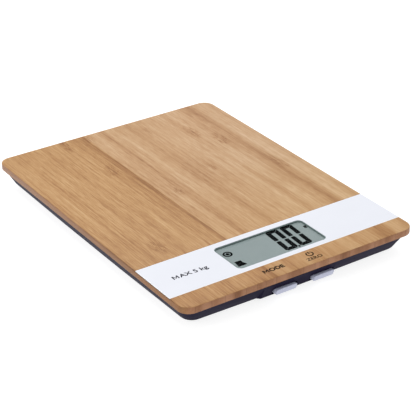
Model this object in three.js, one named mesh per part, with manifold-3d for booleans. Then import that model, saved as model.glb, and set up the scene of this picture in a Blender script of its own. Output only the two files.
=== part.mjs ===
// Bamboo kitchen scale: a thin platform with a display strip let into its front end, above a shallow
// tray that holds the electronics and stands on four weighing feet.
// Millimetres, +Z up, +Y to the back, origin on the table under the middle of the platform.
import * as THREE from 'three';
import { mergeVertices } from 'three/addons/utils/BufferGeometryUtils.js';
import Module from 'manifold-3d';

const wasm = await Module();
wasm.setup();

// ---------------------------------------------------------------- driving dimensions
const WIDTH = 170;
const LENGTH = 230.7;
const FRONT = -LENGTH / 2;
const SEAT_GAP = 0.1;                // between two flat faces that rest on each other
const SIDE_GAP = 0.3;                // round a piece that drops into a pocket
const ROOT = 0.5;                    // how far a rib or boss reaches into the wall it grows from
const OVERCUT = 1;                   // how far a cutting tool runs past the face that it opens

// Heights above the table
const FOOT_DROP = 3;
const TRAY_DEPTH = 10.8;
const PLATFORM_THICK = 4.7;
const TRAY_RIM = FOOT_DROP + TRAY_DEPTH;
const TOP = TRAY_RIM + PLATFORM_THICK;

// Platform and the strip let into it
const PLATFORM_CORNER = 8;
const PLATFORM_EDGE = 0.6;
const PANEL_FRONT = FRONT + 15.4;
const PANEL_BACK = FRONT + 53.25;
const PANEL = { thick: 0.4, corner: 0.5, edge: 0.12 };
const WINDOW = { x: -0.75, y: FRONT + 34, wide: 65.9, deep: 28.8, corner: 3.4 };

// Display
const LENS = { thick: 0.3, margin: 1.2, corner: 2 };     // margin: past the glass on each side
const LCD = { wide: 69, deep: 33.4, thick: 2.1 };
const FRAME = { wall: 0.9, ledge: 1.5, corner: 1.2 };    // ledge: how much of the glass it carries
const FRAME_OPENING_GAP = 0.4;
const CONNECTOR = { deep: 2.4, endGap: 2 };

// Tray: each inset is measured from the platform's edge
const TRAY_WALL = 2.2;
const TRAY_FLOOR = 1.8;
const TRAY_BOW = 0.9;                // how far each side bulges at its middle
const RIM = { side: 0.2, front: 0.2, rear: 0.2, corner: 11.5 };
const BOTTOM = { side: 6.6, front: 7.2, rear: 4, corner: 7 };
const LOWER_EDGE = [[0, 0.9], [0.35, 0.3], [1.1, 0]];    // rounding: height above the underside, inset
const FLOOR_TOP = FOOT_DROP + TRAY_FLOOR;
const RIB = { thick: 1.2, top: FLOOR_TOP + 2, alongX: 148, alongY: 150, middle: 32 };
const RIBS_AT_X = [-30, 30];
const RIBS_AT_Y = [-43, 10, 64];

// Buttons, and the pod they stand in on the tray's front wall
const POD = { left: -30, right: 26, taper: 1.7, rimInset: 0.6, bottomInset: 5.4, back: 8.2 };
const BUTTON = { wide: 15.2, high: 4.5, z: 6.2, corner: 1.4, fillet: 0.5, topInset: 0.9, back: 5.9 };
const BUTTON_LEAN = 20;              // degrees that a button's face leans back
const BUTTON_TRAVEL = 0.6;
const BUTTONS = { mode: -11.9, zero: 15.75 };
const POCKET = { floor: 6.6, endGap: 1.5 };              // floor: in from the platform's front edge
const STEM = { wide: 5, high: 1.6, hookWide: 7.4 };
const SWITCH = { wide: 6.2, deep: 3.6, high: 3.5, front: 10.2, bore: 1.25, boreDepth: 2 };
const PLUNGER = { radius: 0.95, proud: 1, endGap: 0.2 };

// Circuit board
const BOARD = { x: WINDOW.x, y: -80.5, wide: 84, deep: 49, bottom: 8.6, thick: 1.2 };
const BOARD_TOP = BOARD.bottom + BOARD.thick;
const BOARD_SCREW_X = 39.2;
const BOARD_SCREW_Y = 21;
const CHIP = { x: 12, y: WINDOW.y + 2 };

// Weighing feet
const CELL_X = 59.5;
const CELL_Y = 88;
const CELL = { size: 27, thick: 1.6, bottom: 6.1, corner: 3 };
const CELL_TOP = CELL.bottom + CELL.thick;
const TONGUE = { wide: 9, long: 17, slot: 2 };
const SEAT = { clearance: 2.4, fence: 1.3, top: 8, pad: 3.4 };
const RETAINER = { overhang: 2.1, bite: 2, thick: 1.6, leg: 1.4, legWide: 3, legDrop: 2.7, legY: 9.5 };
const GAUGE = { wide: 6, deep: 3.6, thick: 0.25, fromMiddle: 6.2 };
const FOOT = { radius: 8.4, recess: 7.5, hub: 6, skirt: 0.5, shoulder: 3.7, lift: 0.3 };
const FOOT_HOLE_RADIUS = 9.2;
const STUD = { radius: 1.9, head: 2.7, headHigh: 1.1 };
const PAD = { radius: 7.2, thick: 1.2, edge: 0.4 };

// Battery compartment
const BATTERY = { x: 0, y: -18, radius: 10, thick: 3.2, bottom: 6 };
const COVER = { radius: 12.1, plate: 1.7, rim: 1.5, slotLong: 15, slotWide: 1.8, slotDeep: 0.9 };
const COVER_TURN = 40;               // degrees from locked to free
const LUG_BOTTOM = FLOOR_TOP + 0.15;
const LUG_TOP = BATTERY.bottom - SEAT_GAP;
const LUG = { radius: 13.5, wide: 4.5, angles: [90, 210, 330] };
const WELL = { radius: 13.9, wall: 1.7, roof: 10.4, roofThick: 1.2, sides: 32 };
const WELL_RIB = { thick: 1.4, gap: 0.4, angles: [45, 135, 225, 315] };
const CONTACT = { thick: 0.3, wide: 5, reach: 18, sideX: 10.5 };

// Screws
const PLATFORM_SCREWS = [[-70, -56], [70, -56], [-70, 56], [70, 56], [0, 98], [0, 36]];
const PLATFORM_SCREW = { head: 2.5, headHigh: 1.5, shank: 1.1, tip: TOP - 1.8 };
const BOARD_SCREW = { head: 2, headHigh: 1.1, shank: 0.85, long: 3.8 };
const COUNTERBORE_RADIUS = 3;
const BOSS_WALL = 1.4;
const BOARD_BOSS_RADIUS = 2.8;
const SCREW_LEDGE = 9;               // height of the ledge the screw heads bear on

// ---------------------------------------------------------------- materials
const finish = (color, roughness, metalness = 0) =>
  new THREE.MeshStandardMaterial({ color, roughness, metalness });
const MATERIALS = {
  bamboo: finish(0xc69c6d, 0.55),
  panel: finish(0xeaedf7, 0.3),
  window: finish(0xe6ecea, 0.05),
  lcd: finish(0x96a3a0, 0.35),
  framePlastic: finish(0x2a2a30, 0.6),
  trayPlastic: finish(0x322f3c, 0.6),
  button: finish(0xc8c8d7, 0.4),
  board: finish(0x2c6b44, 0.5),
  chip: finish(0x17171a, 0.5),
  zebra: finish(0x8f8f92, 0.8),
  switchBody: finish(0x1c1c1e, 0.5),
  plunger: finish(0xe0ddd4, 0.5),
  steel: finish(0xb8bcc0, 0.35, 1),
  screw: finish(0x8f9296, 0.35, 1),
  retainer: finish(0xe4e2dc, 0.6),
  gauge: finish(0xd9a441, 0.5),
  foot: finish(0x26252b, 0.6),
  rubber: finish(0x3a3a3d, 0.9),
  cell: finish(0xc9ccd0, 0.25, 1),
  contact: finish(0xd7d3c4, 0.3, 1),
  redWire: finish(0xb3261e, 0.5),
  blackWire: finish(0x1d1d1f, 0.5),
  whiteWire: finish(0xe9e9e6, 0.5),
};

const scale = new THREE.Group();

// ---------------------------------------------------------------- solids
// A closed geometry as a solid that can be cut and joined
function solid(geometry) {
  geometry.deleteAttribute('normal');
  geometry.deleteAttribute('uv');
  const merged = mergeVertices(geometry, 1e-4);
  return new wasm.Manifold(new wasm.Mesh({
    numProp: 3,
    vertProperties: merged.attributes.position.array,
    triVerts: Uint32Array.from(merged.index.array),
  }));
}

// Adds one named piece to the scale
function piece(name, shape, material, x = 0, y = 0, z = 0) {
  const { vertProperties, triVerts } = shape.getMesh();
  const indexed = new THREE.BufferGeometry();
  indexed.setAttribute('position', new THREE.BufferAttribute(vertProperties, 3));
  indexed.setIndex(new THREE.BufferAttribute(triVerts, 1));
  const geometry = indexed.toNonIndexed();
  geometry.computeVertexNormals();
  const mesh = new THREE.Mesh(geometry, material);
  mesh.name = name;
  mesh.position.set(x, y, z);
  scale.add(mesh);
}

const join = (shapes) => shapes.reduce((whole, next) => whole.add(next));
const cut = (shape, tools) => tools.reduce((left, tool) => left.subtract(tool), shape);

// Box between two corners
function box([x0, y0, z0], [x1, y1, z1]) {
  const geometry = new THREE.BoxGeometry(x1 - x0, y1 - y0, z1 - z0);
  return solid(geometry.translate((x0 + x1) / 2, (y0 + y1) / 2, (z0 + z1) / 2));
}

// Box centred on (x, y) between two heights
const block = (x, y, wide, deep, z0, z1) =>
  box([x - wide / 2, y - deep / 2, z0], [x + wide / 2, y + deep / 2, z1]);

// Upright cylinder
function cylinder(x, y, radius, z0, z1, sides = 24) {
  const geometry = new THREE.CylinderGeometry(radius, radius, z1 - z0, sides);
  return solid(geometry.rotateX(Math.PI / 2).translate(x, y, (z0 + z1) / 2));
}

// Solid of revolution about +Z from [radius, height] pairs that start and end on the axis
function turned(profile, sides = 24) {
  const points = profile.map(([radius, z]) => new THREE.Vector2(radius, z));
  return solid(new THREE.LatheGeometry(points, sides).rotateX(Math.PI / 2));
}

// Rectangle with rounded corners, centred on (x, y)
function roundedRectangle(x, y, wide, deep, radius, target = new THREE.Shape()) {
  const [left, right, near, far] = [x - wide / 2, x + wide / 2, y - deep / 2, y + deep / 2];
  target.absarc(right - radius, near + radius, radius, -Math.PI / 2, 0);
  target.absarc(right - radius, far - radius, radius, 0, Math.PI / 2);
  target.absarc(left + radius, far - radius, radius, Math.PI / 2, Math.PI);
  target.absarc(left + radius, near + radius, radius, Math.PI, 1.5 * Math.PI);
  return target;
}

const prism = (shape, z0, z1, curveSegments = 2) => solid(
  new THREE.ExtrudeGeometry(shape, { depth: z1 - z0, bevelEnabled: false, curveSegments })
    .translate(0, 0, z0));

// A plate between two heights whose upper and lower edges are eased by `edge`
function easedPlate(shape, z0, z1, edge, curveSegments, bevelSegments) {
  const options = {
    depth: z1 - z0 - 2 * edge,
    bevelThickness: edge,
    bevelSize: edge,
    bevelOffset: -edge,
    bevelSegments,
    curveSegments,
  };
  return solid(new THREE.ExtrudeGeometry(shape, options).translate(0, 0, z0 + edge));
}

// Skin over a stack of rings with the same number of points, closed flat at both ends
function loft(rings) {
  const count = rings[0].length;
  const last = (rings.length - 1) * count;
  const flat = (ring) => ring.map((point) => new THREE.Vector2(point.x, point.y));
  const faces = [];
  for (const [a, b, c] of THREE.ShapeUtils.triangulateShape(flat(rings[0]), [])) {
    faces.push(c, b, a);
  }
  for (const [a, b, c] of THREE.ShapeUtils.triangulateShape(flat(rings.at(-1)), [])) {
    faces.push(last + a, last + b, last + c);
  }
  for (let start = 0; start < last; start += count) {
    for (let i = 0; i < count; i += 1) {
      const a = start + i;
      const b = start + (i + 1) % count;
      faces.push(a, b, b + count, a, b + count, a + count);
    }
  }
  const geometry = new THREE.BufferGeometry().setFromPoints(rings.flat());
  geometry.setIndex(faces);
  return solid(geometry);
}

// One ring of the tray at a height: a rounded rectangle whose sides bulge by TRAY_BOW
const CORNER_STEPS = 8;
const SIDE_STEPS = 6;
function trayRing({ side, front, rear, corner }, z) {
  const halfX = WIDTH / 2 - side;
  const halfY = (LENGTH - front - rear) / 2;
  const middle = (front - rear) / 2;
  const square = [];
  for (let quarter = 0; quarter < 4; quarter += 1) {
    const signX = quarter < 2 ? 1 : -1;
    const signY = quarter === 1 || quarter === 2 ? 1 : -1;
    for (let step = 0; step <= CORNER_STEPS; step += 1) {
      const angle = (quarter - 1 + step / CORNER_STEPS) * Math.PI / 2;
      square.push(new THREE.Vector2(
        signX * (halfX - corner) + corner * Math.cos(angle),
        signY * (halfY - corner) + corner * Math.sin(angle)));
    }
  }
  const ring = [];
  square.forEach((point, i) => {
    const next = square[(i + 1) % square.length];
    const steps = (i + 1) % (CORNER_STEPS + 1) === 0 ? SIDE_STEPS : 1;
    for (let step = 0; step < steps; step += 1) {
      const { x, y } = point.clone().lerp(next, step / steps);
      ring.push(new THREE.Vector3(
        x * (1 - (TRAY_BOW / halfX) * (y / halfY) ** 2),
        middle + y * (1 - (TRAY_BOW / halfY) * (x / halfX) ** 2), z));
    }
  });
  return ring;
}

// Share of the way down the tray's sloping wall at a height
const slope = (z) => (TRAY_RIM - z) / TRAY_DEPTH;

// The tray's ring at a height, drawn in by `inset`
function wallRing(z, inset) {
  const between = (key) => THREE.MathUtils.lerp(RIM[key], BOTTOM[key], slope(z));
  return trayRing({
    side: between('side') + inset,
    front: between('front') + inset,
    rear: between('rear') + inset,
    corner: between('corner') - inset,
  }, z);
}

// ---------------------------------------------------------------- platform
const FRAME_WIDE = LCD.wide + 2 * (FRAME.wall + SIDE_GAP);
const FRAME_DEEP = LCD.deep + 2 * (FRAME.wall + SIDE_GAP);
const SCREW_HOLE_RADIUS = PLATFORM_SCREW.shank + SIDE_GAP;

function platform() {
  const outline = roundedRectangle(0, 0, WIDTH, LENGTH, PLATFORM_CORNER);
  const board = easedPlate(outline, TRAY_RIM, TOP, PLATFORM_EDGE, 5, 2);
  const channel = box([-WIDTH, PANEL_FRONT - SEAT_GAP / 2, TOP - PANEL.thick - SEAT_GAP],
    [WIDTH, PANEL_BACK + SEAT_GAP / 2, TOP + OVERCUT]);
  const opening = roundedRectangle(WINDOW.x, WINDOW.y, FRAME_WIDE + 2 * FRAME_OPENING_GAP,
    FRAME_DEEP + 2 * FRAME_OPENING_GAP, FRAME.corner + FRAME_OPENING_GAP);
  const pilots = PLATFORM_SCREWS.map(([x, y]) =>
    cylinder(x, y, SCREW_HOLE_RADIUS, TRAY_RIM - OVERCUT, PLATFORM_SCREW.tip + SIDE_GAP, 8));
  return cut(board, [channel, prism(opening, TRAY_RIM - OVERCUT, TOP + OVERCUT), ...pilots]);
}
piece('bamboo_platform', platform(), MATERIALS.bamboo);

// ---------------------------------------------------------------- display
const panelShape = roundedRectangle(0, (PANEL_FRONT + PANEL_BACK) / 2, WIDTH,
  PANEL_BACK - PANEL_FRONT, PANEL.corner);
panelShape.holes.push(roundedRectangle(WINDOW.x, WINDOW.y, WINDOW.wide, WINDOW.deep,
  WINDOW.corner, new THREE.Path()));
piece('display_panel', easedPlate(panelShape, TOP - PANEL.thick, TOP, PANEL.edge, 4, 1),
  MATERIALS.panel);

const LENS_TOP = TOP - PANEL.thick - SEAT_GAP;
const LENS_BOTTOM = LENS_TOP - LENS.thick;
const lensShape = roundedRectangle(WINDOW.x, WINDOW.y, LCD.wide + 2 * LENS.margin,
  LCD.deep + 2 * LENS.margin, LENS.corner);
piece('display_window', prism(lensShape, LENS_BOTTOM, LENS_TOP), MATERIALS.window);

// The frame stands on the board; the glass rests on a ledge inside it
const FRAME_TOP = LENS_BOTTOM - SEAT_GAP;
const LCD_TOP = FRAME_TOP - SEAT_GAP;
const LCD_BOTTOM = LCD_TOP - LCD.thick;
const LEDGE_WIDE = LCD.wide - 2 * FRAME.ledge;
const LEDGE_DEEP = LCD.deep - 2 * FRAME.ledge;
const frameShape = roundedRectangle(WINDOW.x, WINDOW.y, FRAME_WIDE, FRAME_DEEP, FRAME.corner);
const frameBlank = prism(frameShape, BOARD_TOP + SEAT_GAP, FRAME_TOP);
piece('lcd_frame', cut(frameBlank, [
  block(WINDOW.x, WINDOW.y, LCD.wide + 2 * SIDE_GAP, LCD.deep + 2 * SIDE_GAP,
    LCD_BOTTOM - SEAT_GAP, TOP),
  block(WINDOW.x, WINDOW.y, LEDGE_WIDE, LEDGE_DEEP, BOARD_TOP - OVERCUT, TOP),
]), MATERIALS.framePlastic);
piece('lcd_glass', block(WINDOW.x, WINDOW.y, LCD.wide, LCD.deep, LCD_BOTTOM, LCD_TOP),
  MATERIALS.lcd);

const connectorY = WINDOW.y - LEDGE_DEEP / 2 + SIDE_GAP + CONNECTOR.deep / 2;
piece('lcd_connector_strip', block(WINDOW.x, connectorY, LEDGE_WIDE - 2 * CONNECTOR.endGap,
  CONNECTOR.deep, BOARD_TOP + SEAT_GAP, LCD_BOTTOM - SEAT_GAP), MATERIALS.zebra);

// ---------------------------------------------------------------- circuit board
const boardScrews = [-1, 1].flatMap((sx) => [-1, 1].map((sy) =>
  [BOARD.x + sx * BOARD_SCREW_X, BOARD.y + sy * BOARD_SCREW_Y]));
const boardHoles = boardScrews.map(([x, y]) => cylinder(x, y, BOARD_SCREW.shank + SIDE_GAP,
  BOARD.bottom - OVERCUT, BOARD_TOP + OVERCUT, 10));
piece('main_board', cut(block(BOARD.x, BOARD.y, BOARD.wide, BOARD.deep, BOARD.bottom, BOARD_TOP),
  boardHoles), MATERIALS.board);

// Chip under a low dome of potting resin
const chipProfile = [[0, 0], [7, 0], [6.6, 0.7], [5, 1.4], [2.6, 1.8], [0, 1.9]];
piece('scale_chip', turned(chipProfile, 14), MATERIALS.chip, CHIP.x, CHIP.y,
  BOARD_TOP + SEAT_GAP);

// ---------------------------------------------------------------- buttons and their switches
// Rounded rectangle in X and Z, at a distance in from the platform's front edge
function buttonRing(shrink, inset) {
  const outline = roundedRectangle(0, BUTTON.z, BUTTON.wide - 2 * shrink, BUTTON.high - 2 * shrink,
    BUTTON.corner - shrink);
  return outline.getPoints(3).slice(0, -1).map(({ x, y: z }) =>
    new THREE.Vector3(x, z, -inset(z)));
}

// Turns a shape drawn in X, Z and minus Y the right way up
const upright = (shape) => shape.rotate([90, 0, 0]).translate([0, FRONT, 0]);

// Slab centred on a button's middle, between two distances in from the front edge
const buttonSlab = (x, wide, high, inset0, inset1) =>
  box([x - wide / 2, FRONT + inset0, BUTTON.z - high / 2],
    [x + wide / 2, FRONT + inset1, BUTTON.z + high / 2]);

// Leaning face with a rounded edge, and behind it a stem with hooks that keep the button in
function buttonCap() {
  const leanTangent = Math.tan(THREE.MathUtils.degToRad(BUTTON_LEAN));
  const topZ = BUTTON.z + BUTTON.high / 2;
  const face = (depth) => (z) => BUTTON.topInset + (topZ - z) * leanTangent + depth;
  const { fillet } = BUTTON;
  const skin = upright(loft([
    buttonRing(0, () => BUTTON.back),
    buttonRing(0, face(fillet)),
    buttonRing(fillet * 0.3, face(fillet * 0.3)),
    buttonRing(fillet, face(0)),
  ]));
  const stemEnd = SWITCH.front - PLUNGER.proud - SEAT_GAP;
  const stem = buttonSlab(0, STEM.wide, STEM.high, BUTTON.back - ROOT, stemEnd);
  const hooks = buttonSlab(0, STEM.hookWide, STEM.high, POD.back + SEAT_GAP, stemEnd);
  return join([skin, stem, hooks]);
}

// Cylinder lying along Y at a button's height, between two distances in from the front edge
function frontCylinder(radius, inset0, inset1) {
  const geometry = new THREE.CylinderGeometry(radius, radius, inset1 - inset0, 10);
  return solid(geometry.translate(0, FRONT + (inset0 + inset1) / 2, BUTTON.z));
}

const SWITCH_TOP = BOARD.bottom - SEAT_GAP;
const boreEnd = SWITCH.front + SWITCH.boreDepth;
const switchBody = cut(box(
  [-SWITCH.wide / 2, FRONT + SWITCH.front, SWITCH_TOP - SWITCH.high],
  [SWITCH.wide / 2, FRONT + SWITCH.front + SWITCH.deep, SWITCH_TOP]),
[frontCylinder(SWITCH.bore, SWITCH.front - OVERCUT, boreEnd)]);
const plunger = frontCylinder(PLUNGER.radius, SWITCH.front - PLUNGER.proud,
  boreEnd - BUTTON_TRAVEL - PLUNGER.endGap);
const cap = buttonCap();
for (const [name, x] of Object.entries(BUTTONS)) {
  piece(`${name}_button`, cap, MATERIALS.button, x);
  piece(`${name}_switch`, switchBody, MATERIALS.switchBody, x);
  piece(`${name}_switch_plunger`, plunger, MATERIALS.plunger, x);
}

// ---------------------------------------------------------------- tray
const corners = [];
for (const [end, sy] of [['front', -1], ['rear', 1]]) {
  for (const [side, sx] of [['left', -1], ['right', 1]]) {
    corners.push({ name: `${end}_${side}`, x: sx * CELL_X, y: sy * CELL_Y, sx, sy });
  }
}

// The pod that the buttons stand in: a sloping block on the front wall with tapered ends
function podRing(z, inset) {
  const face = FRONT + THREE.MathUtils.lerp(POD.rimInset, POD.bottomInset, slope(z)) + inset;
  const { left, right, taper } = POD;
  const back = FRONT + POD.back;
  const shoulder = Math.min(face + taper, back - SEAT_GAP);
  return [[left + taper, face], [right - taper, face], [right, shoulder], [right, back],
    [left, back], [left, shoulder]].map(([x, y]) => new THREE.Vector3(x, y, z));
}

function pocketTools(x) {
  const outline = roundedRectangle(x, BUTTON.z, BUTTON.wide + 2 * POCKET.endGap,
    BUTTON.high + 2 * SIDE_GAP, BUTTON.corner + SIDE_GAP);
  const pocket = upright(prism(outline, -POCKET.floor, OVERCUT, 3));
  const slot = buttonSlab(x, STEM.wide + 2 * SIDE_GAP, STEM.high + 2 * SIDE_GAP, 0,
    POD.back + OVERCUT);
  return [pocket, slot];
}

// Raised square fence round each load cell, with two pads that carry it
function cellSeat(x, y) {
  const inner = CELL.size + 2 * SEAT.clearance;
  const outer = inner + 2 * SEAT.fence;
  const fence = cut(block(x, y, outer, outer, FLOOR_TOP - ROOT, SEAT.top), [
    block(x, y, inner, inner, FLOOR_TOP - OVERCUT, SEAT.top + OVERCUT)]);
  const padX = (CELL.size - SEAT.pad) / 2;
  const pads = [-1, 1].map((side) => block(x + side * padX, y, SEAT.pad, CELL.size,
    FLOOR_TOP - ROOT, CELL.bottom - SEAT_GAP));
  return join([fence, ...pads]);
}

// Wall and roof of the battery well, with ribs that centre the cell
function batteryWell() {
  const { x, y, radius } = BATTERY;
  const shell = cut(cylinder(x, y, WELL.radius + WELL.wall, FLOOR_TOP - ROOT,
    WELL.roof + WELL.roofThick, WELL.sides),
  [cylinder(x, y, WELL.radius, FLOOR_TOP - OVERCUT, WELL.roof, WELL.sides)]);
  const ribs = WELL_RIB.angles.map((angle) => {
    const rib = box([radius + WELL_RIB.gap, -WELL_RIB.thick / 2, LUG_TOP + WELL_RIB.gap],
      [WELL.radius + ROOT, WELL_RIB.thick / 2, WELL.roof + ROOT]);
    return rib.rotate([0, 0, angle]).translate([x, y, 0]);
  });
  return join([shell, ...ribs]);
}

// Everything that grows from the tray's floor
function trayFittings() {
  const ribs = [
    ...RIBS_AT_X.map((x) => block(x, RIB.middle, RIB.thick, RIB.alongY, FLOOR_TOP - ROOT, RIB.top)),
    ...RIBS_AT_Y.map((y) => block(0, y, RIB.alongX, RIB.thick, FLOOR_TOP - ROOT, RIB.top)),
  ];
  const bosses = PLATFORM_SCREWS.map(([x, y]) => cylinder(x, y, COUNTERBORE_RADIUS + BOSS_WALL,
    FLOOR_TOP - ROOT, TRAY_RIM - SEAT_GAP, 12));
  const boardBosses = boardScrews.map(([x, y]) => cylinder(x, y, BOARD_BOSS_RADIUS,
    FLOOR_TOP - ROOT, BOARD.bottom - SEAT_GAP, 10));
  const seats = corners.map(({ x, y }) => cellSeat(x, y));
  return join([...ribs, ...bosses, ...boardBosses, ...seats]);
}

// The holes through the tray's floor, apart from those of the battery well
function trayHoles() {
  return [
    ...PLATFORM_SCREWS.flatMap(([x, y]) => [
      cylinder(x, y, COUNTERBORE_RADIUS, FOOT_DROP - OVERCUT, SCREW_LEDGE, 16),
      cylinder(x, y, SCREW_HOLE_RADIUS, FOOT_DROP, TRAY_RIM + OVERCUT, 8),
    ]),
    ...boardScrews.map(([x, y]) => cylinder(x, y, BOARD_SCREW.shank + SIDE_GAP, FLOOR_TOP,
      BOARD.bottom + OVERCUT, 8)),
    ...corners.map(({ x, y }) => cylinder(x, y, FOOT_HOLE_RADIUS, FOOT_DROP - OVERCUT,
      FLOOR_TOP + SIDE_GAP, 24)),
    ...Object.values(BUTTONS).flatMap(pocketTools),
  ];
}

// The mouth of the battery well: a round hole with a notch for each lug of the turned cover, and
// slots for the two contacts' tails
function wellMouth() {
  const { x, y } = BATTERY;
  const notches = LUG.angles.map((angle) => box(
    [0, -LUG.wide / 2 - SIDE_GAP, FOOT_DROP - OVERCUT],
    [LUG.radius + SIDE_GAP, LUG.wide / 2 + SIDE_GAP, FLOOR_TOP + OVERCUT])
    .rotate([0, 0, angle + COVER_TURN]).translate([x, y, 0]));
  const tail = CONTACT.wide + 2 * SIDE_GAP;
  return [
    cylinder(x, y, COVER.radius + SIDE_GAP, FOOT_DROP - OVERCUT, FLOOR_TOP + OVERCUT, WELL.sides),
    ...notches,
    block(x, y - WELL.radius - 1, tail, 4, WELL.roof - 0.6, WELL.roof),
    block(x + WELL.radius + 1, y, 4, tail, WELL.roof - 1.2, WELL.roof - 0.2),
  ];
}

function tray() {
  const outer = loft([...LOWER_EDGE.map(([up, inset]) => wallRing(FOOT_DROP + up, inset)),
    wallRing(TRAY_RIM - SEAT_GAP, 0)]);
  const pod = loft([...LOWER_EDGE.map(([up, inset]) => podRing(FOOT_DROP + up, inset)),
    podRing(TRAY_RIM - ROOT, 0)]);
  const hollow = loft([wallRing(FLOOR_TOP, TRAY_WALL + 0.6), wallRing(FLOOR_TOP + 0.8, TRAY_WALL),
    wallRing(TRAY_RIM + 0.4, TRAY_WALL)]);
  const shell = join([outer.subtract(hollow), pod, trayFittings().intersect(outer)]);
  const wellCore = cylinder(BATTERY.x, BATTERY.y, WELL.radius, FLOOR_TOP - 0.01, RIB.top + ROOT,
    WELL.sides);
  return cut(cut(shell, [wellCore, ...trayHoles()]).add(batteryWell()), wellMouth());
}
piece('base_tray', tray(), MATERIALS.trayPlastic);

// ---------------------------------------------------------------- weighing feet
// Steel plate with a tongue that bends when the foot on it is pushed up; the tongue's root is at +Y
function loadCell() {
  const outline = roundedRectangle(0, 0, CELL.size, CELL.size, CELL.corner);
  const half = TONGUE.wide / 2;
  const end = TONGUE.long / 2;
  const slot = new THREE.Shape([[-half - TONGUE.slot, -end - TONGUE.slot],
    [half + TONGUE.slot, -end - TONGUE.slot], [half + TONGUE.slot, end], [half, end],
    [half, -end], [-half, -end], [-half, end], [-half - TONGUE.slot, end]]
    .map(([x, y]) => new THREE.Vector2(x, y)));
  return cut(prism(outline, 0, CELL.thick), [
    prism(slot, -OVERCUT, CELL.thick + OVERCUT),
    cylinder(0, 0, STUD.radius + SIDE_GAP, -OVERCUT, CELL.thick + OVERCUT, 12)]);
}

// Frame that clamps the load cell's rim, with four legs that snap into the seat
function retainer() {
  const outer = CELL.size / 2 + RETAINER.overhang;
  const opening = CELL.size - 2 * RETAINER.bite;
  const ring = cut(block(0, 0, 2 * outer, 2 * outer, 0, RETAINER.thick),
    [block(0, 0, opening, opening, -OVERCUT, RETAINER.thick + OVERCUT)]);
  const legX = outer - RETAINER.leg / 2;
  const legs = [-1, 1].flatMap((sx) => [-1, 1].map((sy) => block(sx * legX, sy * RETAINER.legY,
    RETAINER.leg, RETAINER.legWide, -RETAINER.legDrop, ROOT)));
  return join([ring, ...legs]);
}

// Foot with a recess for its rubber pad and a headed stud that passes through the tongue
function foot() {
  const recess = PAD.thick + SEAT_GAP;
  const hubTop = CELL.bottom - FOOT.lift - 0.2;
  const headZ = CELL_TOP + 0.25;
  return turned([[0, recess], [FOOT.recess, recess], [FOOT.recess, FOOT.skirt],
    [FOOT.radius - 0.3, FOOT.skirt], [FOOT.radius, FOOT.skirt + 0.4],
    [FOOT.radius, FOOT.shoulder - 0.4], [FOOT.radius - 0.4, FOOT.shoulder],
    [FOOT.hub, FOOT.shoulder], [FOOT.hub, hubTop], [STUD.radius, hubTop], [STUD.radius, headZ],
    [STUD.head, headZ + 0.1], [STUD.head / 2, headZ + STUD.headHigh], [0, headZ + STUD.headHigh],
  ], 20);
}

const pad = turned([[0, 0], [PAD.radius - PAD.edge, 0], [PAD.radius, PAD.edge],
  [PAD.radius, PAD.thick], [0, PAD.thick]], 20);
const gauge = block(0, 0, GAUGE.wide, GAUGE.deep, 0, GAUGE.thick);
const footSolid = foot();
const cellSolid = loadCell();
const retainerSolid = retainer();
for (const { name, x, y, sy } of corners) {
  piece(`load_cell_${name}`, cellSolid.rotate([0, 0, sy > 0 ? 180 : 0]), MATERIALS.steel, x, y,
    CELL.bottom);
  piece(`load_cell_retainer_${name}`, retainerSolid, MATERIALS.retainer, x, y,
    CELL_TOP + SEAT_GAP);
  piece(`strain_gauge_${name}`, gauge, MATERIALS.gauge, x, y - sy * GAUGE.fromMiddle,
    CELL_TOP + SEAT_GAP);
  piece(`foot_${name}`, footSolid, MATERIALS.foot, x, y);
  piece(`foot_pad_${name}`, pad, MATERIALS.rubber, x, y);
}

// ---------------------------------------------------------------- battery
// Disc with a rim and a coin slot; three lugs on the rim lock over the tray's floor
function batteryCover() {
  const { radius, plate, rim, slotLong, slotWide, slotDeep } = COVER;
  const rimOuter = radius - 0.7;
  const rimTop = LUG_TOP - FOOT_DROP;
  const disc = turned([[0, 0], [radius - 0.4, 0], [radius, 0.4], [radius, plate - 0.1],
    [rimOuter, plate - 0.1], [rimOuter, rimTop], [rimOuter - rim, rimTop], [rimOuter - rim, plate],
    [0, plate]], WELL.sides);
  const lugs = LUG.angles.map((angle) => box(
    [rimOuter - rim / 2, -LUG.wide / 2, LUG_BOTTOM - FOOT_DROP],
    [LUG.radius, LUG.wide / 2, rimTop]).rotate([0, 0, angle]));
  const coinSlot = block(0, 0, slotLong, slotWide, -OVERCUT, slotDeep);
  return cut(join([disc, ...lugs]), [coinSlot]);
}
piece('battery_cover', batteryCover(), MATERIALS.trayPlastic, BATTERY.x, BATTERY.y, FOOT_DROP);

// Coin cell: a can with a slightly smaller cap on top
const { radius: canRadius, thick: cellThick } = BATTERY;
const cellProfile = [[0, 0], [canRadius - 0.4, 0], [canRadius, 0.4], [canRadius, cellThick - 0.5],
  [canRadius - 0.5, cellThick - 0.4], [canRadius - 1.1, cellThick], [0, cellThick]];
piece('coin_cell', turned(cellProfile, 24), MATERIALS.cell, BATTERY.x, BATTERY.y, BATTERY.bottom);

// Sheet-metal strip of constant thickness along a path of [along, z] points, `wide` across
function strip(path, thick, wide) {
  const upper = path.map(([along, z]) => new THREE.Vector2(along, z + thick));
  const lower = path.map(([along, z]) => new THREE.Vector2(along, z)).reverse();
  const profile = new THREE.Shape([...lower, ...upper]);
  return prism(profile, -wide / 2, wide / 2).rotate([90, 0, 0]);
}

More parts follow.
